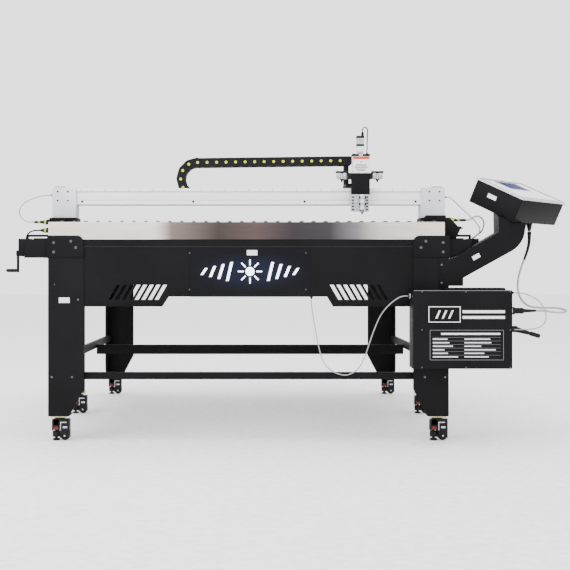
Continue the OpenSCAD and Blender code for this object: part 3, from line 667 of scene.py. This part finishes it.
def add_console():
    """Console with its rim, screws and screen bezel, on its arm."""
    soften("console_arm", 1.5)
    soften("console_case", 2.0)
    soften("console_panel", 1.0)
    soften("console_screen", 0.4)
    place = in_console()
    lines = Shape(place)
    for inset, thick in ((5, 1.6), (12, 1.2)):
        w, h = CONSOLE_L - inset, CONSOLE_W - inset
        lines.box((inset, inset, -0.6), (w, inset + thick, 0.5))
        lines.box((inset, h - thick, -0.6), (w, h, 0.5))
        lines.box((inset, inset, -0.6), (inset + thick, h, 0.5))
        lines.box((w - thick, inset, -0.6), (w, h, 0.5))
    lines.emit("panel_frame_lines", "root", "dark_gap", "white_panel", bevel=0.2)
    lip = 3.5
    rim = Shape(place)
    rim.border((-lip, -lip), (CONSOLE_L + lip, CONSOLE_W + lip), lip - 0.2, -9, 0.6, "z")
    rim.emit("panel_rim", "root", "silver", "white_panel", bevel=0.6)
    screws = Shape(place)
    for x in (9, 200, 391):
        for y in (9, 241):
            screws.bolt((x, y, -0.5), "z", 3.4, 2)
    screws.emit("panel_screws", "root", "fastener_steel", "fastener_steel", bevel=0)
    bezel = Shape(place).border((101, 129), (299, 226), 4, -4, 0.4, "z")
    bezel.emit("screen_bezel", "root", "mesh_grey", "white_panel", bevel=0.3)
    tiles = Shape(place)
    for k in range(5):
        tiles.box((268, 140 + 16 * k, -3.1), (288, 150 + 16 * k, -2.7))
    tiles.emit("screen_tiles", "root", "tile", "screen", bevel=0.1)
    side = Shape(place)
    side.box((-0.5, 122, -64), (0.2, 170, -45))
    side.emit("console_side_label", "root", "label", "white_panel", bevel=0.2)


def add_glands():
    """Glands and sockets of the control box, the console and the sign."""
    shape = Shape()
    shape.gland((721, -60, 655), "-x", 11, 14)
    shape.gland((1155, -85, 670), "x", 9, 15)
    shape.nut((1155, -60, 590), "x", 18, 8).rod((1163, -60, 590), "x", 17, 16)
    for k in range(5):
        shape.rod((1170 + 9 * k, -60, 590), "x", 13.6 - 0.7 * (k % 2), 8.6)
    shape.lathe((1214, -60, 590), "x", [(12, 0), (8.6, 8), (8, 14), (6.6, 36), (5.2, 59), (4.7, 60)])
    shape.gland((1155, -85, 508), "x", 9, 17)
    shape.nut((1155, -40, 508), "x", 15, 10)
    for k in range(4):
        shape.rod((1166 + 7.5 * k, -40, 508), "x", 14.6 - 0.8 * (k % 2), 7)
    droop = Vector((math.cos(math.radians(16)), 0, -math.sin(math.radians(16))))
    lead = [(13, 0)]
    for k in range(7):
        r = 13 - 0.7 * k
        lead += [(r, 4 + 9 * k), (r, 10 + 9 * k), (r - 1.2, 11 + 9 * k), (r - 1.2, 12.5 + 9 * k)]
    shape.lathe((1185, -40, 508), droop, lead + [(8, 70), (10, 73), (10, 112), (8, 116)])
    for x, y, z in ((1300, 140, 952), (1262, 100, 952)):
        shape.gland((x, y, z + 46), "-z", 17, 46)
        shape.rod((x, y, z + 44), "z", 15, 26)
    shape.gland((284, 20, 660), "-z", 9, 20)
    shape.emit("gland_bodies", "root", "black_plastic", "black_plastic", ("glands",), bevel=0)
    ring = Shape()
    ring.rod((1163, -60, 590), "x", 18, 4)
    ring.nut((718, -60, 655), "-x", 12, 5)
    for x, y in ((1300, 140), (1262, 100)):
        ring.nut((x, y, 998), "z", 18, 7)
    ring.emit("gland_rings", "root", "silver", "black_plastic", bevel=0)
    add_sleeve("console_cable_sleeve", smooth([Vector(p) for p in CONSOLE_ROUTE])[2:27], 9.5, 5.2)


def add_sleeve(name, line, thick, thin):
    """Tapered black sleeve round the first stretch of a cord."""
    shape = Shape()
    rings = []
    for i, p in enumerate(line):
        way = (line[min(i + 1, len(line) - 1)] - line[max(i - 1, 0)]).normalized()
        across = way.cross(Vector((0.1, 1, 0.2))).normalized()
        other = way.cross(across)
        r = thick + (thin - thick) * i / (len(line) - 1) + 0.5 * (i % 2)
        rings.append([p + r * (math.cos(a) * across + math.sin(a) * other)
                      for a in (2 * math.pi * k / 16 for k in range(16))])
    shape.skin(rings)
    shape.emit(name, "root", "black_plastic", "black_plastic", bevel=0)


# ---------------------------------------------------------------- gantry
BEAM_LEFT, BEAM_RIGHT = -790, 790


def add_gantry():
    """Beam, pillars, saddles and chain tray, with their grooves, screws and glands."""
    soften("gantry_beam", 1.0)
    soften("gantry_pillars", 1.5)
    soften("saddles", 1.0)
    soften("chain_tray", 0.8)
    soften("x_rails", 0.8, look="beam_aluminium")
    lines = Shape()
    # Painted shade: the beam's two grooves and the line under its lower edge are drawn as flat strips of
    # darker aluminium on the face.
    for z in (1092, 1129.5):
        lines.box((BEAM_LEFT, 99.4, z - 0.9), (BEAM_RIGHT, 100.3, z + 0.9))
    lines.box((BEAM_LEFT, 99.2, 1071), (BEAM_RIGHT, 100.3, 1074))
    lines.emit("beam_groove_shade", "gantry", "pillar_aluminium", "beam_aluminium", bevel=0.2)
    holes = Shape()
    for x in range(-770, 771, 55):
        holes.lathe((x, 91.2, 1138), "-y", [(2.2, 0), (2.2, 0.35), (1.2, 0.4)])
    for x in (-764, -254, 257, 767):
        holes.rod((x, 104, 1085), "-y", 5.6, 4.6)
    holes.emit("rail_screws", "gantry", "dark_gap", "rail_steel", bevel=0)
    fittings = Shape()
    for z in (991, 953):
        fittings.gland((-911, 101, z), "-x", 14, 44)
    fittings.rod((-955, 101, 991), "-x", 5.5, 29)
    fittings.gland((-900, 108, 1115), "-x", 6.5, 10)
    for z in (1000, 965):
        fittings.gland((911, 101, z), "x", 14, 44)
    fittings.rod((955, 101, 1000), "x", 6, 42)
    fittings.lathe((955, 101, 965), "x", [(6, 0), (7, 4), (7, 18), (5.5, 22), (5.5, 27)])
    fittings.gland((900, 112, 1106), "x", 6.5, 10)
    for side in (-1, 1):
        for x, z in ((875, 1130), (828, 1130), (875, 1089), (828, 1089)):
            fittings.bolt((side * x, 90, z), "-y", 4, 3)
        low, high = sorted((side * 841, side * 890))
        fittings.box((low, 100, 1149), (high, 160, 1154))
    fittings.emit("gantry_glands", "gantry", "black_plastic", "black_plastic", ("gantry_fittings",),
                  bevel=0.4)
    wires = Shape()
    wires.rod((-928, 101, 991), "-x", 12, 9).rod((-957, 101, 991), "-x", 6.6, 9)
    wires.rod((-928, 101, 953), "-x", 12, 9)
    wires.rod((928, 101, 1000), "x", 12.4, 14).rod((958, 101, 1000), "x", 7, 10)
    wires.rod((928, 101, 965), "x", 12.4, 14).rod((976, 101, 965), "x", 6.4, 7)
    wires.emit("gland_ferrules", "gantry", "green", "black_plastic", bevel=0)


PINION_Y, PINION_Z, PINION_TEETH = 138, 889, 26


def cogs(centre, count, profile):
    """Outline of a toothed wheel: profile holds (part of a tooth's turn, radius) pairs."""
    outline = []
    for k in range(count):
        for turn, r in profile:
            a = 2 * math.pi * (k + turn) / count
            outline.append((centre[0] + r * math.cos(a), centre[1] + r * math.sin(a)))
    return outline


def add_drive_motors():
    """Gantry motors: stacked body, end cap, and a pinion on the rack."""
    shape = Shape()
    pinions = Shape()
    for side in (-1, 1):
        outwards = "x" if side > 0 else "-x"

        def block(x0, x1, inset):
            low, high = sorted((side * x0, side * x1))
            shape.box((low, 115 + inset, 866 + inset), (high, 161 - inset, 912 - inset))

        block(938, 946, 0)
        for k in range(5):
            block(946 + 8 * k, 952 + 8 * k, 1)
            block(952 + 8 * k, 954 + 8 * k, 2)
        block(986, 996, 0)
        teeth = cogs((PINION_Y, PINION_Z), PINION_TEETH,
                     ((-0.3, 11.2), (-0.14, 12.9), (0.14, 12.9), (0.3, 11.2)))
        low, high = sorted((side * 921.4, side * 932.8))
        pinions.slab(teeth, low, high, "x")
        pinions.rod((side * 930, PINION_Y, PINION_Z), outwards, 5, 10)
    shape.emit("drive_motors", "gantry", "black_plastic", "black_plastic", ("y_motors",), bevel=0.6)
    pinions.emit("drive_pinions", "gantry", "rail_steel", "black_plastic", bevel=0)


def add_racks():
    """Toothed racks of module 2 beside the two long rails."""
    pitch = 2 * math.pi
    front, back = 20, TABLE_D - 20
    under, root, tip = 864.2, 875.5, 878.2
    for side, name in ((-1, "left_rack"), (1, "right_rack")):
        outline = [(back, under), (front, under)]
        for k in range(int((back - front - 2) / pitch)):
            y = front + k * pitch
            outline += [(y + 0.8, root), (y + 2.3, tip), (y + 4.0, tip), (y + 5.5, root)]
        outline.append((back, root))
        low, high = sorted((side * 922.5, side * 932.5))
        Shape().slab(outline, low, high, "x").emit(name, "root", "rail_steel", "rail_steel", bevel=0)


# ---------------------------------------------------------------- drag chain
CHAIN_Y, CHAIN_W = 192, 58
LINK_H, LINK_PITCH = 42, 44
BEND_X, BEND_Z, BEND_R = -240, 1199, 76
CHAIN_END, CHAIN_END_Z = 473, 1284
NESTED = (0.4, 1.8)  # how far in the side plates of every other link stand


def link_outline():
    """Side plate of a link: two round ends and a waist."""
    r = LINK_H / 2
    half = LINK_PITCH / 2
    right = [(half + r * 0.62 * math.cos(a), r * math.sin(a)) for a in
             (math.radians(d) for d in range(-90, 91, 18))]
    left = [(-x, -z) for x, z in right]
    return right + left


def add_link(name, centre, angle, offset):
    """One link, its studs, and the bars that close it above and below. Returns its pieces."""
    place = Matrix.Translation(centre) @ Matrix.Rotation(-angle, 4, "Y")
    body = Shape(place)
    studs = Shape(place)
    front, back = CHAIN_Y + offset, CHAIN_Y + CHAIN_W - offset
    for low, high in ((front, front + 5), (back - 5, back)):
        body.slab(link_outline(), low, high)
    for low, high in ((LINK_H / 2 - 3.2, LINK_H / 2 - 0.6), (0.6 - LINK_H / 2, 3.2 - LINK_H / 2)):
        body.box((-9, front + 3, low), (9, back - 3, high))
    for y, way in ((front, "-y"), (back, "y")):
        start = y + (0.5 if way == "-y" else -0.5)
        studs.lathe((-LINK_PITCH / 2, start, 0), way, [(6.4, 0), (6.4, 0.9 + offset), (5.4, 1.5 + offset),
                                                       (3, 1.5 + offset), (2.4, 0.9 + offset)], 20)
    return (body.emit(name, None, "chain_plastic", "chain_plastic", bevel=0.5),
            studs.emit(name + "_stud", None, "stud", "chain_plastic", bevel=0))


def share(pieces):
    """Pieces with their placement baked into their meshes; no body carries them.
    """
    for piece in pieces:
        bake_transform(piece)


def add_chain():
    """Upper run, lower run and the bend between them, link by link."""
    upper = 16
    rise = math.atan2(CHAIN_END_Z - BEND_Z - BEND_R, CHAIN_END - BEND_X)
    for i in range(upper):
        ratio = (i + 0.5) / upper
        x = CHAIN_END + (BEND_X - CHAIN_END) * ratio
        z = CHAIN_END_Z - (CHAIN_END - x) * math.tan(rise)
        pair = add_link(f"chain_upper_link_{i + 1}", (x, 0, z), rise, NESTED[i % 2])
        share(pair)
    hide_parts("chain_upper")
    lower = 19
    for i in range(lower):
        ratio = (i + 0.5) / lower
        centre = (BEND_X * ratio, 0, BEND_Z - BEND_R)
        pair = add_link(f"chain_lower_link_{i + 1}", centre, 0, NESTED[i % 2])
        share(pair)
    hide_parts("chain_lower")
    for i in range(6):
        turn = math.radians(90 + 30 * (i + 0.5))
        centre = (BEND_X + BEND_R * math.cos(turn), 0, BEND_Z + BEND_R * math.sin(turn))
        pair = add_link(f"chain_bend_link_{i + 1}", centre, turn - math.pi / 2, NESTED[i % 2])
        for piece in pair:
            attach(piece, "chain_loop_a" if i < 3 else "chain_loop_b")
        if i in (0, 3):
            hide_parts("chain_bend_upper" if i == 0 else "chain_bend_lower")


# ---------------------------------------------------------------- head
def on_head():
    """The head's own frame: x from the middle of the carriage."""
    return Matrix.Translation((HEAD_X, 0, 0))


def add_head():
    """Carriage, housing and cover with their blank labels and top cap."""
    soften("x_carriage", 1.0)
    soften("z_housing", 1.0)
    soften("z_cover", 0.8)
    label = Shape(on_head())
    label.box((-36, 50.3, 1217), (37, 51.1, 1286))
    label.emit("head_label", "carriage", "label", "white_panel", bevel=0.2)
    strip = Shape(on_head())
    strip.box((-36, 49.9, 1274), (37, 50.4, 1286))
    strip.emit("head_label_strip", "carriage", "orange", "white_panel", bevel=0.2)
    bars = Shape(on_head())
    bars.slab([(-6, 1255), (-3, 1254), (6, 1266), (3, 1267)], 49.9, 50.4)
    for z, width in ((1249, 48), (1243, 58), (1236, 60), (1229, 46), (1223, 36)):
        bars.box((-width / 2, 49.9, z - 1.8), (width / 2, 50.4, z + 1.8))
    bars.emit("head_label_bars", "carriage", "label_grey", "white_panel", bevel=0.1)
    top = Shape(on_head())
    top.box((-40, 49, 1288), (-10, 100, 1298)).box((8, 49, 1288), (41, 100, 1298))
    top.bolt((-30, 60, 1298), "z", 4, 3).bolt((32, 60, 1298), "z", 4, 3)
    top.emit("head_top_cap", "carriage", "black_plastic", "black_plastic", bevel=0.8)


def add_height_motor():
    """Stepper motor in bands, with its connector."""
    dark = Shape(on_head())
    dark.box((-19, 60.5, 1372), (16, 95.5, 1382)).box((-19, 60.5, 1335), (16, 95.5, 1344))
    dark.box((-12, 64, 1297), (9, 92, 1303))
    dark.box((4, 71, 1381), (15, 85, 1397)).box((6, 73, 1396), (13, 83, 1402))
    dark.rod((30, 82, 1297), "z", 4.5, 9)
    dark.rod((-1.5, 78, 1222), "z", 4, 76)
    dark.emit("height_motor_ends", "carriage", "black_plastic", "black_plastic", ("z_motor",), bevel=1.0)
    stack = Shape(on_head())
    for k in range(7):
        stack.box((-18.4, 61.1, 1344.2 + 4 * k), (15.4, 94.9, 1347.6 + 4 * k))
        stack.box((-17.8, 61.7, 1347.6 + 4 * k), (14.8, 94.3, 1348.2 + 4 * k))
    stack.emit("height_motor_stack", "carriage", "silver", "rail_steel", bevel=0.4)
    coupling = Shape(on_head())
    coupling.box((-18, 61.5, 1309), (15, 94.5, 1335))
    for k in range(3):
        coupling.box((-18.6, 60.9, 1312 + 8 * k), (15.6, 95.1, 1315 + 8 * k))
    coupling.emit("height_motor_coupling", "carriage", "white_panel", "pillar_aluminium", bevel=0.8)


def add_wings():
    """The two small side motors under their plates."""
    plates = Shape(on_head())
    cans = Shape(on_head())
    castings = Shape(on_head())
    tips = Shape(on_head())
    for x in (-85.5, 76.5):
        plates.box((x - 27, 58, 1213), (x + 27, 86, 1221))
        plates.bolt((x - 20, 72, 1221), "z", 3, 2).bolt((x + 20, 72, 1221), "z", 3, 2)
        for dx in (-13, 13):
            cans.rod((x + dx, 72, 1200), "z", 12, 13.2)
            castings.lathe((x + dx, 72, 1185), "z", [(9, 0), (11.6, 3), (11.6, 6), (10.6, 7),
                                                     (11.8, 9), (11.8, 15)])
        tips.lathe((x, 72, 1171), "z", [(3, 0), (3.4, 2), (5, 8), (11, 15)])
    plates.box((-60, 60, 1185), (-42, 84, 1213)).box((41, 60, 1185), (52, 84, 1213))
    plates.emit("wing_plates", "carriage", "black_plastic", "black_plastic", ("wing_motors",), bevel=0.8)
    cans.emit("wing_cans", "carriage", "silver", "rail_steel", bevel=0)
    castings.emit("wing_castings", "carriage", "mesh_grey", "rail_steel", bevel=0)
    tips.emit("wing_tips", "carriage", "dark_gap", "rail_steel", bevel=0)


def add_torch():
    """Torch plate with its slots and clamps, torch body and nozzle."""
    soften("torch_plate", 0.8, look="mesh_grey")
    column = Shape(on_head())
    x, y = 4, 36
    column.lathe((x, y, 1044), "z", [(7.5, 0), (9, 2), (9, 14), (8.4, 15), (8.4, 17), (9, 18), (9, 46),
                                     (8.4, 47), (8.4, 49), (9, 50), (9, 66), (8, 68)], 32)
    column.emit("torch_column", "torch_slide", "white_panel", "rail_steel", ("torch_body",), bevel=0)
    tip = Shape(on_head())
    tip.lathe((x, y, 1022), "z", [(1.2, 0), (3, 0.6), (5.5, 8), (8, 12), (8, 15), (7.4, 16), (8, 17),
                                  (8, 22)], 32)
    tip.emit("torch_tip", "torch_slide", "nozzle", "brass", ("torch_nozzle",), bevel=0)
    clamps = Shape(on_head())
    for z in (1062, 1092):
        clamps.box((x + 9.5, 24, z + 1), (x + 16.5, 49, z + 12))
        clamps.box((x - 16.5, 24, z + 1), (x - 9.5, 49, z + 12))
        clamps.bolt((x + 13, 24, z + 6.5), "-y", 3, 2).bolt((x - 13, 24, z + 6.5), "-y", 3, 2)
    clamps.emit("torch_clamps", "torch_slide", "black_plastic", "beam_aluminium", bevel=0.5)
    slots = Shape(on_head())
    for side in (-1, 1):
        for k in range(5):
            low, high = sorted((-5 + side * 27, -5 + side * 37))
            slots.box((low, 47.4, 1042 + 14 * k), (high, 48.1, 1049 + 14 * k))
    slots.emit("torch_plate_slots", "torch_slide", "dark_gap", "beam_aluminium", bevel=0.2)


# ---------------------------------------------------------------- crank and casters
def add_crank():
    """The hand crank's arm and its ribbed grip."""
    soften("crank_arm", 1.0)
    low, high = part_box("crank_grip")
    length = (high.x - low.x) * 1000
    start = (high.x - CENTRE_X) * 1000
    y = ((low.y + high.y) / 2 - FRONT_Y) * 1000
    z = (low.z + high.z) * 500
    profile = [(4.4, 0), (7, 0.4)]
    for k in range(6):
        d = length * (0.12 + 0.12 * k)
        profile += [(7.6, d), (8.5, d + 1), (8.5, d + 4), (7.6, d + 5)]
    profile += [(7.4, length * 0.93), (6, length - 0.6), (4.4, length)]
    Shape().lathe((start, y, z), "-x", profile, 28).emit(
        "crank_grip_ribbed", "grip", "black_plastic", "black_plastic", ("crank_grip",), bevel=0)


WHEEL_Z = 21


def add_casters():
    """The six levelling casters: turning body, wheel with its washers, guard, dial and pad."""
    for i in range(1, 7):
        soften(f"caster_{i}", 0.8)
        low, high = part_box(f"wheel_{i}")
        x = ((low.x + high.x) / 2 - CENTRE_X) * 1000
        y = (low.y - FRONT_Y) * 1000
        wide = (high.y - low.y) * 1000
        Shape().lathe((x, y, WHEEL_Z), "y", [(4.2, 1.5), (9, 1.5), (9.6, 0.4), (15, 0.4), (15.6, 2), (19, 2),
                                        (20.8, 3.4), (21, wide / 2), (20.8, wide - 3.4), (19, wide - 2),
                                        (15.6, wide - 2), (15, wide - 0.4), (9.6, wide - 0.4),
                                        (9, wide - 1.5), (4.2, wide - 1.5)], 40).emit(
            f"wheel_tyre_{i}", f"roller_{i}", "rubber", "rubber", (f"wheel_{i}",), bevel=0)
        axle_and_glints = Shape()
        washers = Shape()
        for face, way in ((y - 5.4, "-y"), (y + wide + 5.4, "y")):
            washers.lathe((x, face, WHEEL_Z), way, [(9, 0), (9, 1), (6, 2), (3.6, 2)], 24)
            axle_and_glints.lathe((x, face, WHEEL_Z), way, [(3.8, 0), (3.8, 3), (2.6, 3.6)], 24)
            near, far = sorted((face, face + (-1 if way == "-y" else 1)))
            # Painted highlight: a bright steel strip up the side and over the top of each fork face stands
            # for the reflections on the fork, with a short bright plate across the middle; the axle ends are
            # real.
            axle_and_glints.box((x - 20, near, 46), (x - 17, far, 80)).box((x - 20, near, 80), (x + 9, far, 84))
            axle_and_glints.box((x - 8, near, 56), (x + 11, far, 64))
        axle_and_glints.emit(f"caster_axle_and_painted_glints_{i}", f"swivel_{i}", "silver", "caster_black", bevel=0.2)
        washers.emit(f"caster_washers_{i}", f"swivel_{i}", "caster_black", "caster_black", bevel=0)
        guard = Shape()
        centre = (x - 40, y + wide / 2)
        near, far, middle = centre[1] - 15, centre[1] + 15, centre[0]
        guard.box((middle - 18, near, 66), (middle + 14, far, 95))
        for face in (near, far - 3):
            guard.box((middle - 18, face, 44), (middle - 12, face + 3, 66))
            guard.box((middle + 9, face, 44), (middle + 15, face + 3, 66))
        guard.lathe((*centre, 16), "z", [(15, 0), (18, 3), (18, 9), (16, 10), (18, 11), (18, 22),
                                                      (15, 26), (9, 28)], 32)
        guard.emit(f"caster_guard_{i}", f"swivel_{i}", "caster_black", "caster_black", bevel=0.5)
        dial = Shape()
        teeth = cogs(centre, 18, ((-0.3, 16.4), (-0.2, 18), (0.2, 18), (0.3, 16.4)))
        dial.slab(teeth, 49, 63, "z")
        dial.emit(f"level_dial_{i}", f"swivel_{i}", "red", "caster_black", bevel=0.4)
        pad = Shape()
        pad.lathe((*centre, 0), "z", [(16, 0.1), (16.6, 2), (16.6, 5), (14, 8.5), (7, 10), (6.4, 12),
                                      (6.4, 48)], 32)
        pad.emit(f"level_pad_{i}", f"swivel_{i}", "rubber", "rubber", bevel=0)


# ---------------------------------------------------------------- studio
def add_studio():
    """Pale floor, white surroundings and three lamps."""
    floor = Shape()
    floor.box((-30000, -30000, -8), (30000, 30000, -0.2))
    bmesh.ops.recalc_face_normals(floor.bm, faces=floor.bm.faces)
    for vert in floor.bm.verts:
        vert.co = at(*vert.co)
    mesh = bpy.data.meshes.new("studio_floor")
    floor.bm.to_mesh(mesh)
    obj = bpy.data.objects.new("studio_floor", mesh)
    bpy.context.scene.collection.objects.link(obj)
    mesh.materials.append(plain("pale_floor", linear(250, 250, 250), rough=0.8, vary=0.01, cloud=2, grain=30,
                                bump=0.0))
    world = bpy.data.worlds.new("studio")
    world.use_nodes = True
    world.node_tree.nodes["Background"].inputs["Color"].default_value = (1, 1, 1, 1)
    world.node_tree.nodes["Background"].inputs["Strength"].default_value = 2.3
    bpy.context.scene.world = world
    for name, place, size, power in (
            ("key", at(-2600, -3200, 3600), 3.0, 110), ("fill", at(-3200, -1000, 2200), 3.0, 30),
            ("top", at(0, 900, 4200), 4.0, 160)):
        data = bpy.data.lights.new(name, "AREA")
        data.size = size
        data.energy = power
        lamp = bpy.data.objects.new(name, data)
        lamp.location = place
        lamp.rotation_euler = (at(0, 900, 800) - place).to_track_quat("-Z", "Y").to_euler()
        bpy.context.scene.collection.objects.link(lamp)


add_frame()
add_slats()
add_fasteners()
add_fold_line()
add_labels()
add_sign()
add_control_box()
add_console()
add_glands()
add_gantry()
add_drive_motors()
add_racks()
add_chain()
add_head()
add_height_motor()
add_wings()
add_torch()
add_crank()
add_casters()
add_studio()
